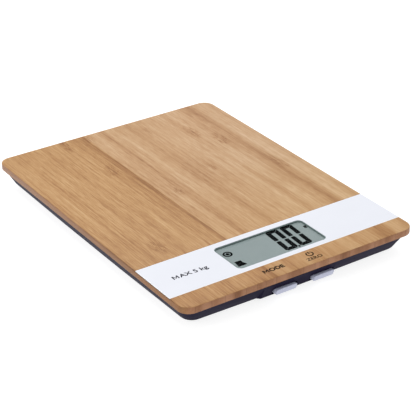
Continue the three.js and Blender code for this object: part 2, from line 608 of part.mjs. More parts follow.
// The negative contact dips to the top of the cell, and the positive one stands at its side
const cellTop = BATTERY.bottom + BATTERY.thick;
const tailZ = WELL.roof - 0.45;
const negativePath = [[-6, tailZ], [0, cellTop + 0.15], [6, tailZ], [CONTACT.reach, tailZ]];
piece('battery_contact_negative',
  strip(negativePath, CONTACT.thick, CONTACT.wide).rotate([0, 0, -90]),
  MATERIALS.contact, BATTERY.x, BATTERY.y);
const { sideX } = CONTACT;
const sideTop = WELL.roof - 0.5;
const sideContact = join([
  box([sideX, -CONTACT.wide / 2, LUG_TOP + ROOT],
    [sideX + CONTACT.thick, CONTACT.wide / 2, sideTop]),
  box([sideX, -CONTACT.wide / 2, sideTop - CONTACT.thick],
    [CONTACT.reach, CONTACT.wide / 2, sideTop])]);
piece('battery_contact_positive', sideContact, MATERIALS.contact, BATTERY.x, BATTERY.y);

// ---------------------------------------------------------------- screws
// Cross-headed screw, head up, with the underside of its head at z = 0
function screw(head, headHigh, shank, long) {
  const body = turned([[0, -long], [shank * 0.5, -long], [shank, 1.2 - long], [shank, 0],
    [head, 0], [head, headHigh * 0.6], [head * 0.7, headHigh], [0, headHigh]], 10);
  const slotLong = head * 1.2;
  const slotWide = 0.6;
  return cut(body, [block(0, 0, slotLong, slotWide, headHigh * 0.4, headHigh + OVERCUT),
    block(0, 0, slotWide, slotLong, headHigh * 0.4, headHigh + OVERCUT)]);
}
const platformScrew = screw(PLATFORM_SCREW.head, PLATFORM_SCREW.headHigh, PLATFORM_SCREW.shank,
  PLATFORM_SCREW.tip - SCREW_LEDGE).rotate([180, 0, 0]);
PLATFORM_SCREWS.forEach(([x, y], i) => {
  piece(`platform_screw_${i + 1}`, platformScrew, MATERIALS.screw, x, y, SCREW_LEDGE - SEAT_GAP);
});
const boardScrew = screw(BOARD_SCREW.head, BOARD_SCREW.headHigh, BOARD_SCREW.shank,
  BOARD_SCREW.long);
boardScrews.forEach(([x, y], i) => {
  piece(`board_screw_${i + 1}`, boardScrew, MATERIALS.screw, x, y, BOARD_TOP + SEAT_GAP);
});

// ---------------------------------------------------------------- wiring
// Round wire or bundle along a smooth path
function wire(points, radius, steps) {
  const path = new THREE.CatmullRomCurve3(points.map((point) => new THREE.Vector3(...point)));
  const section = new THREE.Shape().absarc(0, 0, radius, 0, 2 * Math.PI);
  const options = { steps, extrudePath: path, bevelEnabled: false, curveSegments: 4 };
  return solid(new THREE.ExtrudeGeometry(section, options));
}

const BUNDLE_RADIUS = 0.8;
const BUNDLE_Z = CELL_TOP + 3.1;     // where the bundles run, clear of the retainers and ribs
const PAD_Z = BOARD_TOP + 1.2;       // where the wires meet the board
for (const { name, x, sx, sy } of corners) {
  const gaugeY = sy * (CELL_Y - 7);
  const start = [[x, gaugeY, CELL_TOP + 1.2], [x - sx * 0.4, gaugeY - sy * 2.6, BUNDLE_Z]];
  const route = sy < 0
    ? [[x - sx * 6, gaugeY + 6, BUNDLE_Z], [x - sx * 14, gaugeY + 5, BUNDLE_Z],
      [x - sx * 18.5, gaugeY + 2, BUNDLE_Z + 0.3], [x - sx * 20.3, gaugeY - 1.4, PAD_Z]]
    : [[x - sx, gaugeY - 8, BUNDLE_Z], [x - sx * 2, gaugeY - 16, BUNDLE_Z],
      [x - sx * 5, 20, BUNDLE_Z],
      [x - sx * 9, -30, BUNDLE_Z], [x - sx * 19, -48, BUNDLE_Z],
      [x - sx * 27, -55, BUNDLE_Z + 0.2], [x - sx * 29, -60, PAD_Z]];
  piece(`load_cell_wires_${name}`, wire([...start, ...route], BUNDLE_RADIUS, sy < 0 ? 12 : 28),
    MATERIALS.whiteWire);
}

const LEAD_RADIUS = 0.55;
const tailY = BATTERY.y - CONTACT.reach;
piece('battery_wire_black', wire([[-0.5, tailY - 0.9, WELL.roof - 0.3], [-1, tailY - 6, WELL.roof],
  [-5, -50, WELL.roof + 0.4], [-9, -55, WELL.roof + 1], [-10, -59.5, PAD_Z]], LEAD_RADIUS, 12),
MATERIALS.blackWire);
piece('battery_wire_red', wire([[CONTACT.reach + 0.9, BATTERY.y - 0.6, WELL.roof - 0.65],
  [21, -24, WELL.roof - 0.4], [20, -40, WELL.roof], [15, -53, WELL.roof + 1],
  [12, -59.5, PAD_Z]], LEAD_RADIUS, 14), MATERIALS.redWire);

export default scale;
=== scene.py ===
import math

import bmesh
import bpy
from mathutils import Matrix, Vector


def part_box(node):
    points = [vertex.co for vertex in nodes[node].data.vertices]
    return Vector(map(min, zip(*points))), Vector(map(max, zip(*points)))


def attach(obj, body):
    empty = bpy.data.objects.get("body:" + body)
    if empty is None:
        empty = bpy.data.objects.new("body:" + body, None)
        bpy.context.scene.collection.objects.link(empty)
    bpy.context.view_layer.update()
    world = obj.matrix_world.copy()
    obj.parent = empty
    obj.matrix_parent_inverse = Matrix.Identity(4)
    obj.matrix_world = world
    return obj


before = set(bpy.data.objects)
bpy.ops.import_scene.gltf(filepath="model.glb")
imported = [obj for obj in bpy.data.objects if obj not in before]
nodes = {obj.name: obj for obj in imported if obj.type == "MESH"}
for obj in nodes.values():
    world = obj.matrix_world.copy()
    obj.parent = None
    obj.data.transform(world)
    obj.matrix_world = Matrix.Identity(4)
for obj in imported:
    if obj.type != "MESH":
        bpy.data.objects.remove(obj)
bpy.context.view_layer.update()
scene = bpy.context.scene
MM = 0.001

plate_low, plate_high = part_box("bamboo_platform")
panel_low, panel_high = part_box("display_panel")
glass_low, glass_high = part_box("lcd_glass")
window_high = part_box("display_window")[1]
OPENING_INSET = (1.55, 2.3)           # of the strip's opening from the glass's edges, mm
OPENING_CORNER = 3.4
TOP = plate_high.z


# ---------------------------------------------------------------- materials
class Material:
    """One material: a Principled shader and short calls for the nodes that feed it.

    `mm` is the position on the object in millimetres, in the shared frame.
    """

    def __init__(self, name, color, roughness, **settings):
        self.data = bpy.data.materials.new(name)
        self.data.use_nodes = True
        self.tree = self.data.node_tree
        self.tree.nodes.clear()
        self.output = self.add("ShaderNodeOutputMaterial")
        self.shader = self.add("ShaderNodeBsdfPrincipled")
        self.link(self.shader.outputs[0], self.output.inputs["Surface"])
        self.set(color=color, roughness=roughness, **settings)
        place = self.add("ShaderNodeTexCoord").outputs["Object"]
        self.mm = self.scaled(place, (1 / MM,) * 3)

    def add(self, kind, **fields):
        node = self.tree.nodes.new(kind)
        for key, value in fields.items():
            setattr(node, key, value)
        return node

    def link(self, a, b):
        self.tree.links.new(a, b)

    def put(self, value, socket):
        if isinstance(value, bpy.types.NodeSocket):
            self.link(value, socket)
        elif socket.type == "RGBA" and len(value) == 3:
            socket.default_value = (*value, 1)
        else:
            socket.default_value = value

    def set(self, color=None, roughness=None, **settings):
        if color is not None:
            self.put(color, self.shader.inputs["Base Color"])
        if roughness is not None:
            self.put(roughness, self.shader.inputs["Roughness"])
        for key, value in settings.items():
            self.put(value, self.shader.inputs[key.replace("_", " ")])

    def scaled(self, vector, factors):
        node = self.add("ShaderNodeVectorMath", operation="MULTIPLY")
        self.put(vector, node.inputs[0])
        node.inputs[1].default_value = factors
        return node.outputs[0]

    def math(self, operation, a, b=0.0, clamp=False):
        node = self.add("ShaderNodeMath", operation=operation, use_clamp=clamp)
        self.put(a, node.inputs[0])
        self.put(b, node.inputs[1])
        return node.outputs[0]

    def axes(self, vector=None):
        node = self.add("ShaderNodeSeparateXYZ")
        self.put(self.mm if vector is None else vector, node.inputs[0])
        return node.outputs

    def vector(self, x, y, z=0.0):
        node = self.add("ShaderNodeCombineXYZ")
        for value, socket in zip((x, y, z), node.inputs):
            self.put(value, socket)
        return node.outputs[0]

    def noise(self, grain, detail=3.0, roughness=0.5, vector=None):
        """Noise from 0 to 1 whose features are about `grain` millimetres along x, y and z"""
        node = self.add("ShaderNodeTexNoise")
        source = self.mm if vector is None else vector
        self.link(self.scaled(source, [1 / g for g in grain]), node.inputs["Vector"])
        node.inputs["Scale"].default_value = 1.0
        node.inputs["Detail"].default_value = detail
        node.inputs["Roughness"].default_value = roughness
        return node.outputs["Fac"]

    def ramp(self, value, stops):
        """Colour ramp through (position, grey or colour) stops, 32 at most"""
        node = self.add("ShaderNodeValToRGB")
        elements = node.color_ramp.elements
        while len(elements) < len(stops):
            elements.new(1.0)
        for element, (position, shade) in zip(elements, stops):
            element.position = position
            color = (shade,) * 3 if isinstance(shade, (int, float)) else shade
            element.color = (*color, 1)
        self.put(value, node.inputs["Fac"])
        return node.outputs["Color"]

    def remap(self, value, low, high, to_low=0.0, to_high=1.0, smooth=False):
        node = self.add("ShaderNodeMapRange")
        if smooth:
            node.interpolation_type = "SMOOTHSTEP"
        self.put(value, node.inputs[0])
        for number, socket in zip((low, high, to_low, to_high), node.inputs[1:5]):
            socket.default_value = number
        return node.outputs[0]

    def mix(self, factor, a, b, blend="MIX"):
        node = self.add("ShaderNodeMix", data_type="RGBA", blend_type=blend)
        self.put(factor, node.inputs["Factor"])
        self.put(a, node.inputs[6])
        self.put(b, node.inputs[7])
        return node.outputs[2]

    def bump(self, height, depth, strength=1.0):
        """Bump whose height runs from 0 to `depth` millimetres"""
        node = self.add("ShaderNodeBump")
        node.inputs["Strength"].default_value = strength
        node.inputs["Distance"].default_value = depth * MM
        self.put(height, node.inputs["Height"])
        self.link(node.outputs["Normal"], self.shader.inputs["Normal"])


def srgb(red, green, blue):
    """Linear colour of an 8-bit sRGB one"""
    def linear(c):
        c /= 255
        return c / 12.92 if c <= 0.04045 else ((c + 0.055) / 1.055) ** 2.4
    return linear(red), linear(green), linear(blue)


# Tone of the strips that the board is glued from: (x in mm, tone from 0 dark to 1 pale)
STRIPS = [
    (-85, 0.40), (-79, 0.52), (-71, 0.42), (-60, 0.52), (-51, 0.44), (-39, 0.52),
    (-30, 0.42), (-24, 0.36), (-19.8, 0.08), (-19.2, 0.62), (-9, 0.66), (-5, 0.32),
    (-1, 0.64), (3, 0.66), (9, 0.62), (14, 0.48), (22, 0.58), (30, 0.62), (36, 0.78),
    (42, 0.78), (45, 0.56), (53, 0.78), (60, 0.58), (63, 0.46), (65, 0.34), (67, 0.40),
    (70, 0.62), (73, 0.86), (79, 0.76), (85, 0.54),
]
# Nodes of the bamboo culm: (x, y, half width, half length) in mm and how dark they are
KNOTS = [
    (-36, 108, 2.6, 9, 0.7), (-18, 108, 3.4, 6, 0.6), (-30, 57, 3.8, 8, 0.45),
    (-21, 24, 1.8, 12, 0.5), (-9, 8, 1.9, 5, 0.6), (47, 78, 2.8, 10, 0.6),
    (57, 57, 3.6, 9, 0.6), (70, 5, 3.2, 9, 0.5), (-59, -46, 4.0, 8, 0.6),
    (22, 98, 2.4, 7, 0.4), (28, 25, 2.4, 5, 0.4),
]
KNOT_REACH = 2.2                      # where a knot fades out, in squared half sizes
KNOT_SWING = 0.9                      # how far fibres swing round a knot, mm
SEAM = (-19.4, -19.0)                 # x of the glue line by the darkest strip, mm
FRONT_WOOD = (-99, -101)              # y where the wood in front of the white strip starts, mm
BLOCK_WIDE = 8.5                      # spacing of the glue lines on the sawn ends, mm


def bamboo():
    m = Material("bamboo", (0.4, 0.25, 0.12), 0.5)
    x, y, z = m.axes()
    half = (plate_high.x - plate_low.x) / 2 / MM
    across = m.remap(x, -half, half)
    strips = m.ramp(across, [((edge + half) / (2 * half), tone) for edge, tone in STRIPS])

    # fibres swing round the knots
    knots = swirl = None
    for kx, ky, wide, long, depth in KNOTS:
        dx = m.math("DIVIDE", m.math("SUBTRACT", x, kx), wide)
        dy = m.math("DIVIDE", m.math("SUBTRACT", y, ky), long)
        far = m.math("ADD", m.math("MULTIPLY", dx, dx), m.math("MULTIPLY", dy, dy))
        near = m.remap(far, 0.0, KNOT_REACH, 1.0, 0.0, smooth=True)
        push = m.math("MULTIPLY", near, dx)
        dark = m.math("MULTIPLY", near, depth)
        knots = dark if knots is None else m.math("MAXIMUM", knots, dark)
        swirl = push if swirl is None else m.math("ADD", swirl, push)
    bent = m.vector(m.math("ADD", x, m.math("MULTIPLY", swirl, KNOT_SWING)), y, z)

    broad = m.noise((6, 130, 9), 2, 0.5, bent)
    streaks = m.noise((1.5, 70, 2.2), 4, 0.6, bent)
    lines = m.noise((0.5, 45, 0.5), 2, 0.6, bent)
    fibres = m.noise((0.6, 12, 0.5), 3, 0.6, bent)
    mottle = m.noise((1.4, 7, 1.3), 3, 0.6, bent)
    cloud = m.noise((26, 60, 26), 2, 0.5)

    tone = strips
    left_side = m.remap(x, *SEAM, 1.35, 0.75)
    for source, share in ((broad, 0.34), (streaks, 0.85), (fibres, 0.80), (mottle, 0.50),
                          (cloud, 0.34), (lines, m.math("MULTIPLY", left_side, 0.75))):
        swing = m.math("MULTIPLY", m.math("SUBTRACT", source, 0.5), share)
        tone = m.math("ADD", tone, swing)
    knot_grain = m.remap(m.noise((0.8, 4.5, 1.2), 3, 0.65, bent), 0.40, 0.66)
    tone = m.math("SUBTRACT", tone, m.math("MULTIPLY", knots, knot_grain))
    dark_fleck = m.math("MULTIPLY", m.remap(mottle, 0.64, 0.8), 0.2)
    tone = m.math("SUBTRACT", tone, dark_fleck, clamp=True)
    color = m.ramp(tone, [
        (0.00, srgb(132, 94, 64)), (0.25, srgb(150, 112, 78)), (0.50, srgb(166, 130, 94)),
        (0.66, srgb(174, 140, 105)), (0.84, srgb(181, 150, 116)), (1.00, srgb(190, 160, 129))])
    # yellower to the left of the darkest strip and towards the front
    warm = m.math("MAXIMUM", m.remap(x, *SEAM, 1.0, 0.0), m.remap(y, 20, -90, 0.0, 0.9))
    color = m.mix(warm, color, m.mix(1.0, color, (1.0, 0.97, 0.84), "MULTIPLY"))
    # painted sheen: paler and cooler towards the rear right, where a broad reflection falls
    painted_sheen = m.math("MULTIPLY", m.remap(x, 10, 60), m.remap(y, -10, 80, 0.0, 0.5))
    color = m.mix(painted_sheen, color, m.mix(1.0, color, (1.12, 1.15, 1.27), "MULTIPLY"))
    color = m.mix(m.remap(y, *FRONT_WOOD), color, m.mix(1.0, color, (0.94, 0.89, 0.84), "MULTIPLY"))

    # sawn ends: darker, with the fibre bundles seen end on and the glue lines upright
    facing = m.axes(m.add("ShaderNodeNewGeometry").outputs["True Normal"])
    end = m.remap(m.math("ABSOLUTE", facing[1]), 0.45, 0.9)
    bundles = m.remap(m.noise((0.5, 30, 0.5), 2, 0.6), 0.35, 0.7)
    blocks = m.noise((6, 400, 60), 1, 0.5)
    end_tone = m.math("ADD", m.math("MULTIPLY", bundles, 0.25), m.math("MULTIPLY", blocks, 1.1))
    end_color = m.ramp(end_tone, [
        (0.30, srgb(127, 85, 58)), (0.60, srgb(151, 107, 77)), (0.90, srgb(169, 125, 96))])
    seam = m.add("ShaderNodeTexVoronoi", voronoi_dimensions="1D", feature="DISTANCE_TO_EDGE")
    m.link(m.math("MULTIPLY", x, 1 / BLOCK_WIDE), seam.inputs["W"])
    seam.inputs["Scale"].default_value = 1.0
    line = m.remap(seam.outputs["Distance"], 0.0, 0.05, 0.72, 1.0)
    end_color = m.mix(1.0, end_color, m.vector(line, line, line), "MULTIPLY")
    color = m.mix(end, color, end_color)
    # the long sides are planed: one strip's flank, pinker to the rear
    side = m.remap(m.math("ABSOLUTE", facing[0]), 0.6, 0.95)
    flank = m.mix(m.remap(y, -100, 90), srgb(135, 97, 66), srgb(149, 114, 91))
    grain = m.remap(m.math("ADD", streaks, fibres), 0.7, 1.3, 0.82, 1.18)
    flank = m.mix(1.0, flank, m.vector(grain, grain, grain), "MULTIPLY")
    color = m.mix(side, color, flank)

    roughness = m.remap(m.math("ADD", streaks, fibres), 0.6, 1.4, 0.40, 0.56)
    m.set(color=color, roughness=roughness, Specular_IOR_Level=0.15)
    m.bump(m.math("ADD", m.math("MULTIPLY", fibres, 0.7), m.math("MULTIPLY", mottle, 0.3)),
           0.05, 0.35)
    return m.data


HIGHLIGHT_WIDE = 0.55                       # width of the painted highlight along the white strip's edges, mm


def panel_white():
    """Pale lacquered strip, with a painted highlight along its edges"""
    m = Material("panel_white", (0.7, 0.7, 0.76), 0.28)
    x, y, _ = m.axes()
    edges = [
        (x, panel_low.x, 1), (x, panel_high.x, -1), (y, panel_low.y, 1), (y, panel_high.y, -1)]
    nearest = None
    for axis, where, sign in edges:
        gap = m.math("MULTIPLY", m.math("SUBTRACT", axis, where / MM), sign)
        nearest = gap if nearest is None else m.math("MINIMUM", nearest, gap)
    painted_highlight = m.remap(nearest, HIGHLIGHT_WIDE * 0.7, HIGHLIGHT_WIDE, 1.0, 0.0)
    cloud = m.noise((40, 22, 40), 2, 0.5)
    body = m.mix(m.remap(cloud, 0.3, 0.7), srgb(205, 207, 214), srgb(208, 210, 217))
    # painted highlight: the strip's edges paler, where they catch the light
    color = m.mix(painted_highlight, body, srgb(223, 224, 227))
    m.set(color=color, roughness=m.remap(m.noise((9, 9, 9), 3), 0.3, 0.7, 0.46, 0.56),
          Specular_IOR_Level=0.2)
    m.bump(m.noise((4, 4, 4), 2), 0.004, 0.2)
    return m.data


def window_clear():
    """Clear sheet: what lies under it shows through, under a faint gloss"""
    m = Material("window_clear", (0.02, 0.025, 0.025), 0.05, Alpha=0.08, Specular_IOR_Level=0.1)
    smear = m.noise((5, 7, 5), 3, 0.6)
    m.set(roughness=m.remap(smear, 0.35, 0.75, 0.03, 0.12))
    m.bump(m.noise((30, 30, 30), 2), 0.03, 0.2)
    return m.data


# Painted shade along the display's edges, for the shadow of the strip above, fixed to the glass:
# mm in from its edge where the band starts to fade and where it is gone, and how strong it is
FAR_SHADE = (0.8, 6.5, 0.75)
SIDE_SHADE = (0.8, 4.0, 0.5)


def lcd():
    """Grey-green reflector behind the liquid crystal; painted shade at its far and side edges"""
    m = Material("lcd", (0.3, 0.35, 0.34), 0.4)
    x, y, _ = m.axes()
    cloud = m.remap(m.noise((30, 30, 30), 2), 0.3, 0.7)
    grit = m.remap(m.noise((0.18, 0.18, 0.18), 2, 0.6), 0.3, 0.7)
    color = m.mix(cloud, srgb(142, 155, 155), srgb(148, 160, 160))
    color = m.mix(m.math("MULTIPLY", grit, 0.16), color, srgb(160, 172, 172))
    # painted shade: darker towards the glass's far and side edges, for the shadow of the strip
    # above
    far = m.math("SUBTRACT", glass_high.y / MM, y)
    side = m.math("MINIMUM", m.math("SUBTRACT", x, glass_low.x / MM),
                  m.math("SUBTRACT", glass_high.x / MM, x))
    shade = m.math("MAXIMUM", m.remap(far, *FAR_SHADE, 0.0, smooth=True),
                   m.remap(side, *SIDE_SHADE, 0.0, smooth=True))
    color = m.mix(shade, color, srgb(92, 112, 109))
    m.set(color=color, roughness=m.remap(grit, 0, 1, 0.35, 0.5), Specular_IOR_Level=0.1)
    m.bump(grit, 0.01, 0.3)
    return m.data


def moulded(name, color, roughness, texture=0.22, depth=0.02, shade=0.82, level=0.5):
    """Moulded plastic: spark-eroded texture, with a slow drift in colour and gloss"""
    m = Material(name, color, roughness)
    grit = m.noise((texture,) * 3, 3, 0.65)
    drift = m.noise((24, 24, 24), 2)
    dark = tuple(c * shade for c in color)
    tint = m.mix(m.remap(drift, 0.3, 0.7), dark, color)
    light = tuple(min(1.0, c * 1.12 + 0.004) for c in color)
    tint = m.mix(m.remap(grit, 0.55, 0.8, 0.0, 0.5), tint, light)
    m.set(color=tint, roughness=m.remap(grit, 0.3, 0.7, roughness - 0.05, roughness + 0.07),
          Specular_IOR_Level=level)
    m.bump(grit, depth, 0.5)
    return m.data


def metal(name, color, roughness, grain, depth=0.006):
    """Sheet or turned metal, brushed along the long axis of `grain`, with faint stains"""
    m = Material(name, color, roughness, Metallic=1.0)
    brush = m.noise(grain, 4, 0.6)
    stain = m.remap(m.noise((5, 5, 5), 3, 0.6), 0.45, 0.75)
    dull = tuple(c * 0.72 for c in color)
    tint = m.mix(m.remap(brush, 0.3, 0.7), tuple(c * 0.88 for c in color), color)
    m.set(color=m.mix(m.math("MULTIPLY", stain, 0.35), tint, dull),
          roughness=m.remap(brush, 0.3, 0.7, roughness - 0.08, roughness + 0.1))
    m.bump(brush, depth, 0.4)
    return m.data


def circuit_board():
    """Green solder mask over copper tracks, with the glass weave just showing"""
    m = Material("board_green", (0.02, 0.14, 0.06), 0.4)
    x, y, _ = m.axes()
    tracks = m.add("ShaderNodeTexBrick", offset=0.5)
    m.link(m.scaled(m.mm, (0.16, 0.5, 1)), tracks.inputs["Vector"])
    tracks.inputs["Scale"].default_value = 1.0
    tracks.inputs["Mortar Size"].default_value = 0.12
    tracks.inputs["Mortar Smooth"].default_value = 0.1
    weave = m.math("MULTIPLY", m.math("SINE", m.math("MULTIPLY", x, 7.0)),
                   m.math("SINE", m.math("MULTIPLY", y, 7.0)))
    mask = m.mix(tracks.outputs["Fac"], (0.018, 0.12, 0.05), (0.03, 0.2, 0.08))
    mask = m.mix(m.remap(weave, -1, 1, 0.0, 0.18), mask, (0.05, 0.22, 0.1))
    m.set(color=mask, roughness=m.remap(m.noise((2, 2, 2), 2), 0.3, 0.7, 0.32, 0.46))
    m.bump(tracks.outputs["Fac"], 0.03, 0.6)
    return m.data


def strain_film():
    """Amber film with a folded foil grid"""
    m = Material("gauge_film", (0.6, 0.3, 0.05), 0.3)
    wave = m.math("SINE", m.math("MULTIPLY", m.axes()[0], 14.0))
    foil = m.remap(wave, 0.0, 0.4)
    film = m.mix(m.noise((1.5, 1.5, 1.5), 3), (0.55, 0.26, 0.04), (0.66, 0.36, 0.08))
    m.set(color=m.mix(foil, film, (0.42, 0.24, 0.1)), roughness=m.remap(foil, 0, 1, 0.25, 0.4))
    m.bump(foil, 0.01, 0.5)
    return m.data


def rubber(name, color, ridge=0.0):
    """Dusty matt rubber, with ridges `ridge` millimetres apart if that is given"""
    m = Material(name, color, 0.75)
    speck = m.noise((0.3, 0.3, 0.3), 3, 0.7)
    dust = m.remap(m.noise((3, 3, 3), 3), 0.5, 0.8)
    tint = m.mix(m.math("MULTIPLY", dust, 0.3), color, tuple(c * 1.6 + 0.02 for c in color))
    height = speck
    if ridge:
        wave = m.math("SINE", m.math("MULTIPLY", m.axes()[0], 2 * math.pi / ridge))
        height = m.math("ADD", m.math("MULTIPLY", wave, 0.5), m.math("MULTIPLY", speck, 0.4))
    m.set(color=tint, roughness=m.remap(speck, 0.3, 0.7, 0.68, 0.88), Specular_IOR_Level=0.3)
    m.bump(height, 0.04, 0.5)
    return m.data


def print_and_shade(name, color):
    """Matt, a little uneven: screen-printed ink, and the painted shade round the window"""
    m = Material(name, color, 0.9, Specular_IOR_Level=0.0)
    patch = m.noise((0.6, 0.6, 0.6), 3, 0.6)
    m.set(color=m.mix(m.remap(patch, 0.4, 0.75), color, tuple(c * 1.6 for c in color)),
          roughness=m.remap(patch, 0.3, 0.7, 0.8, 0.95))
    m.bump(patch, 0.004, 0.4)
    return m.data


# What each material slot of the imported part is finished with
FINISHES = {
    "bamboo": bamboo(),
    "panel_white": panel_white(),
    "window_clear": window_clear(),
    "lcd": lcd(),
    "black_plastic": moulded("black_plastic", (0.012, 0.012, 0.014), 0.5),
    "connector_rubber": rubber("connector_rubber", (0.2, 0.2, 0.2), ridge=0.5),
    "board_green": circuit_board(),
    "chip_black": moulded("chip_black", (0.008, 0.008, 0.009), 0.25, 1.5, 0.05),
    "button_grey": moulded("button_grey", (0.49, 0.51, 0.65), 0.32, 0.12, 0.006, 0.95),
    "plunger_white": moulded("plunger_white", (0.7, 0.68, 0.62), 0.45),
    "tray_dark": moulded("tray_dark", (0.0155, 0.0125, 0.032), 0.5, 0.25, 0.02, 0.8, 0.02),
    "cell_steel": metal("cell_steel", (0.62, 0.63, 0.64), 0.34, (0.25, 14, 0.25)),
    "retainer_white": moulded("retainer_white", (0.68, 0.67, 0.63), 0.5),
    "gauge_film": strain_film(),
    "foot_plastic": moulded("foot_plastic", (0.018, 0.017, 0.022), 0.55, 0.3),
    "pad_rubber": rubber("pad_rubber", (0.035, 0.035, 0.037)),
    "coin_cell_steel": metal("coin_cell_steel", (0.70, 0.71, 0.71), 0.24, (0.2, 6, 0.2)),
    "contact_nickel": metal("contact_nickel", (0.72, 0.68, 0.58), 0.28, (4, 0.2, 0.2)),
    "screw_steel": metal("screw_steel", (0.42, 0.43, 0.45), 0.32, (0.3, 0.3, 0.12), 0.01),
    "wire_white": moulded("wire_white", (0.72, 0.72, 0.69), 0.42, 0.4),
    "wire_black": moulded("wire_black", (0.012, 0.012, 0.013), 0.42, 0.4),
    "wire_red": moulded("wire_red", (0.42, 0.02, 0.015), 0.42, 0.4),
}

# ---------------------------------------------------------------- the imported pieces
SOFT_EDGE = 0.12                      # rounding of moulded and sawn edges, mm
EDGE_ANGLE = math.radians(38)         # edges turned less than this stay as they are
FLAT_ANGLE = math.radians(0.4)        # faces turned less than this are one flat face
WELD_DISTANCE = 1e-6                  # metres
# Rounding of the pieces whose names start so, mm
SHARP = {"display_window": 0.05, "lcd_glass": 0.05, "display_panel": 0.06, "load_cell": 0.05,
         "battery_contact": 0.04, "strain_gauge": 0.0, "load_cell_wires": 0.0,
         "battery_wire": 0.0}


def dress(node, piece):
    """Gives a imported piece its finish, smooth round faces and slightly rounded edges"""
    slot = piece.material_slots[0].material.name
    piece.material_slots[0].material = FINISHES[slot]
    for extra in ("custom_normal", "sharp_edge", "sharp_face"):
        layer = piece.data.attributes.get(extra)
        if layer is not None:
            piece.data.attributes.remove(layer)
    piece.data.polygons.foreach_set("use_smooth", [True] * len(piece.data.polygons))
    weld = piece.modifiers.new("weld", "WELD")
    weld.merge_threshold = WELD_DISTANCE
    flat = piece.modifiers.new("planar", "DECIMATE")
    flat.decimate_type = "DISSOLVE"
    flat.angle_limit = FLAT_ANGLE
    width = next((w for key, w in sorted(SHARP.items(), reverse=True) if node.startswith(key)),
                 SOFT_EDGE)
    if width:
        bevel = piece.modifiers.new("edges", "BEVEL")
        bevel.width = width * MM
        bevel.segments = 2
        bevel.limit_method = "ANGLE"
        bevel.angle_limit = EDGE_ANGLE
        bevel.harden_normals = True


for node, piece in nodes.items():
    dress(node, piece)


